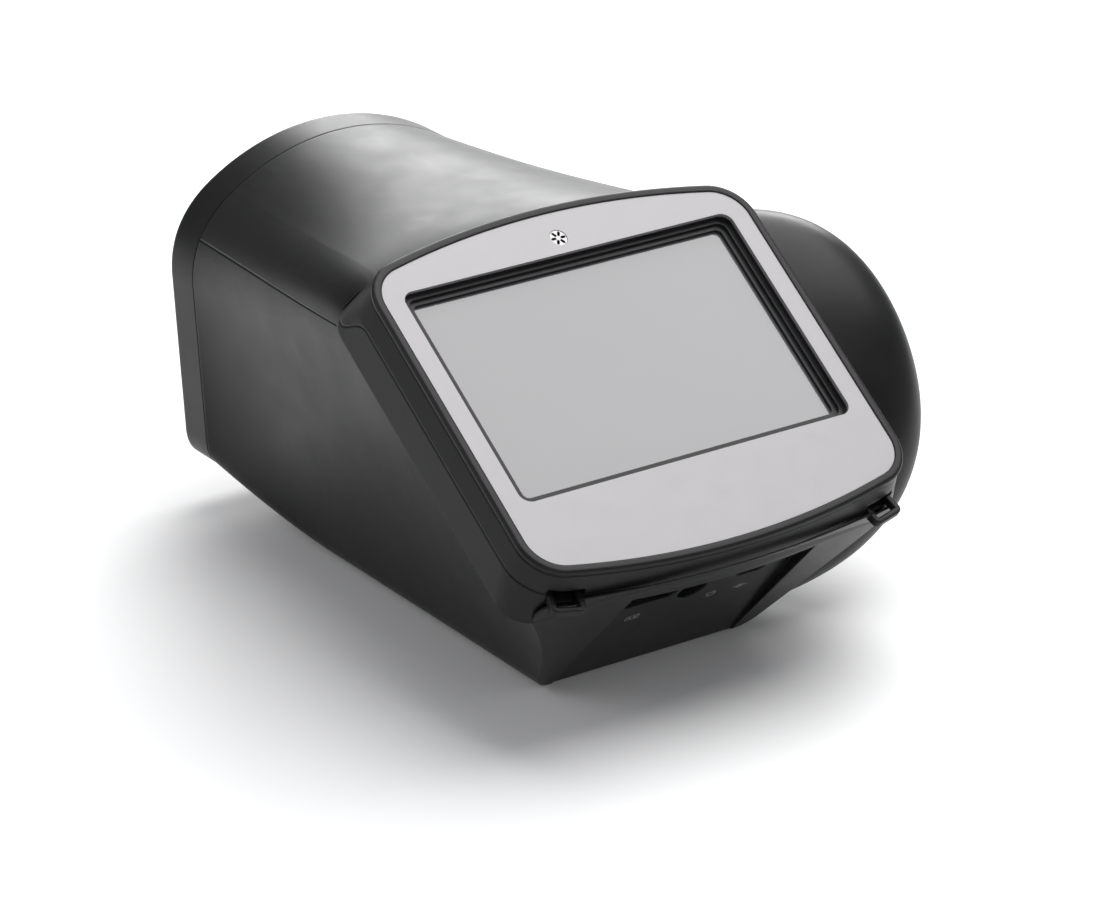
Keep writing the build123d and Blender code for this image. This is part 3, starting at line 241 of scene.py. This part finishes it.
def bar(mesh, x, y, length, width, upright=False):
    """A straight stroke centred at x, y."""
    half = (width / 2, length / 2) if upright else (length / 2, width / 2)
    strip(mesh, [(x - half[0], y - half[1]), (x - half[0], y + half[1])],
          [(x + half[0], y - half[1]), (x + half[0], y + half[1])], False)


def pictogram(name, draw):
    """One printed mark on the panel, drawn in the panel's frame."""
    mesh = bmesh.new()
    draw(mesh)
    bmesh.ops.recalc_face_normals(mesh, faces=mesh.faces)
    data = bpy.data.meshes.new(name)
    mesh.to_mesh(data)
    mesh.free()
    piece = bpy.data.objects.new(name, data)
    bpy.context.collection.objects.link(piece)
    data.transform(PANEL_FRAME)
    data.materials.append(finishes["print_white"])
    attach(piece, "housing")


def plug_icon(mesh, x=-0.0190, y=0.0335, line=0.00022):
    """A receptacle seen end on, with two contacts."""
    bar(mesh, x, y + 0.0011, 0.0046, line)
    bar(mesh, x, y - 0.0011, 0.0046, line)
    bar(mesh, x - 0.0023 + line / 2, y, 0.0022, line, True)
    bar(mesh, x + 0.0023 - line / 2, y, 0.0022, line, True)
    for side in (-1, 1):
        bar(mesh, x + side * 0.0009, y, 0.0007, 0.0007, True)


def power_icon(mesh, x=0.0086, y=0.0338, line=0.00024):
    """An open ring with a stroke in its gap."""
    arc(mesh, x, y, 0.0014, line, 125.0, 415.0)
    bar(mesh, x, y + 0.0010, 0.0016, line, True)


def socket_icon(mesh, x=0.0190, y=0.0335, line=0.00022):
    """A round socket with its pin and two leads."""
    arc(mesh, x, y, 0.0012, line, 35.0, 325.0)
    arc(mesh, x, y, 0.00025, 0.0005)
    bar(mesh, x - 0.0020, y, 0.0012, line)
    bar(mesh, x + 0.0016, y, 0.0022, line)


pictogram("plug_pictogram", plug_icon)
pictogram("power_pictogram", power_icon)
pictogram("socket_pictogram", socket_icon)

# ---------------------------------------------------------------- floor, light and camera
FLOOR_REACH = 6.0

grid = bmesh.new()
bmesh.ops.create_grid(grid, x_segments=2, y_segments=2, size=FLOOR_REACH)
floor_data = bpy.data.meshes.new("floor")
grid.to_mesh(floor_data)
grid.free()
floor = bpy.data.objects.new("floor", floor_data)
bpy.context.collection.objects.link(floor)
floor_data.materials.append(surface("pale_floor", (0.86, 0.86, 0.86), (0.88, 0.88, 0.88),
                                    (0.85, 0.92), scale=40.0, strength=0.0, edge=0.0, shine=0.1,
                                    glow=0.02))

world = bpy.data.worlds.new("studio")
world.use_nodes = True
sky = world.node_tree.nodes["Background"]
sky.inputs["Color"].default_value = (0.95, 0.96, 1.0, 1.0)
sky.inputs["Strength"].default_value = 0.30
bpy.context.scene.world = world
bpy.context.scene.view_settings.view_transform = "Standard"

SUBJECT = Vector((0.0, 0.0, 0.06))  # what the lights are turned to


def softbox(name, place, size, power, size_y=None):
    """A rectangular light of the given width, power in watts, and height."""
    data = bpy.data.lights.new(name, "AREA")
    data.shape = "RECTANGLE"
    data.size = size
    data.size_y = size_y or size
    data.energy = power
    lamp = bpy.data.objects.new(name, data)
    lamp.location = place
    lamp.rotation_euler = (SUBJECT - Vector(place)).to_track_quat("-Z", "Y").to_euler()
    bpy.context.collection.objects.link(lamp)


softbox("overhead", (0.55, 0.10, 1.50), 1.6, 33.0)
softbox("behind", (0.95, 1.15, 0.62), 1.0, 15.0, 0.5)
softbox("left", (-1.30, 0.35, 0.80), 0.9, 4.0)
softbox("operator_side", (-0.10, -1.60, 1.10), 1.2, 2.8)

# the viewpoint, looking at the middle of the screen from the operator's left
AZIMUTH = radians(-34.78)
ELEVATION = radians(23.44)
SCREEN = Vector((0.0, -0.055, 0.093))
SHIFT_RIGHT = -0.0202
SHIFT_UP = -0.0274
DISTANCE = 1.4769
SENSOR_WIDTH = 36.0  # millimetres, as is the focal length
FOCAL_LENGTH = 167.7
NEAR, FAR = 0.05, 30.0
back = Vector((sin(AZIMUTH) * cos(ELEVATION), -cos(AZIMUTH) * cos(ELEVATION), sin(ELEVATION)))
right = Vector((cos(AZIMUTH), sin(AZIMUTH), 0.0))
above = back.cross(right)
lens = bpy.data.cameras.new("camera")
lens.sensor_width = SENSOR_WIDTH
lens.lens = FOCAL_LENGTH
lens.clip_start = NEAR
lens.clip_end = FAR
camera = bpy.data.objects.new("camera", lens)
bpy.context.collection.objects.link(camera)
spot = SCREEN + right * SHIFT_RIGHT + above * SHIFT_UP + back * DISTANCE
camera.matrix_world = Matrix((
    (right.x, above.x, back.x, spot.x),
    (right.y, above.y, back.y, spot.y),
    (right.z, above.z, back.z, spot.z),
    (0.0, 0.0, 0.0, 1.0),
))
bpy.context.scene.camera = camera
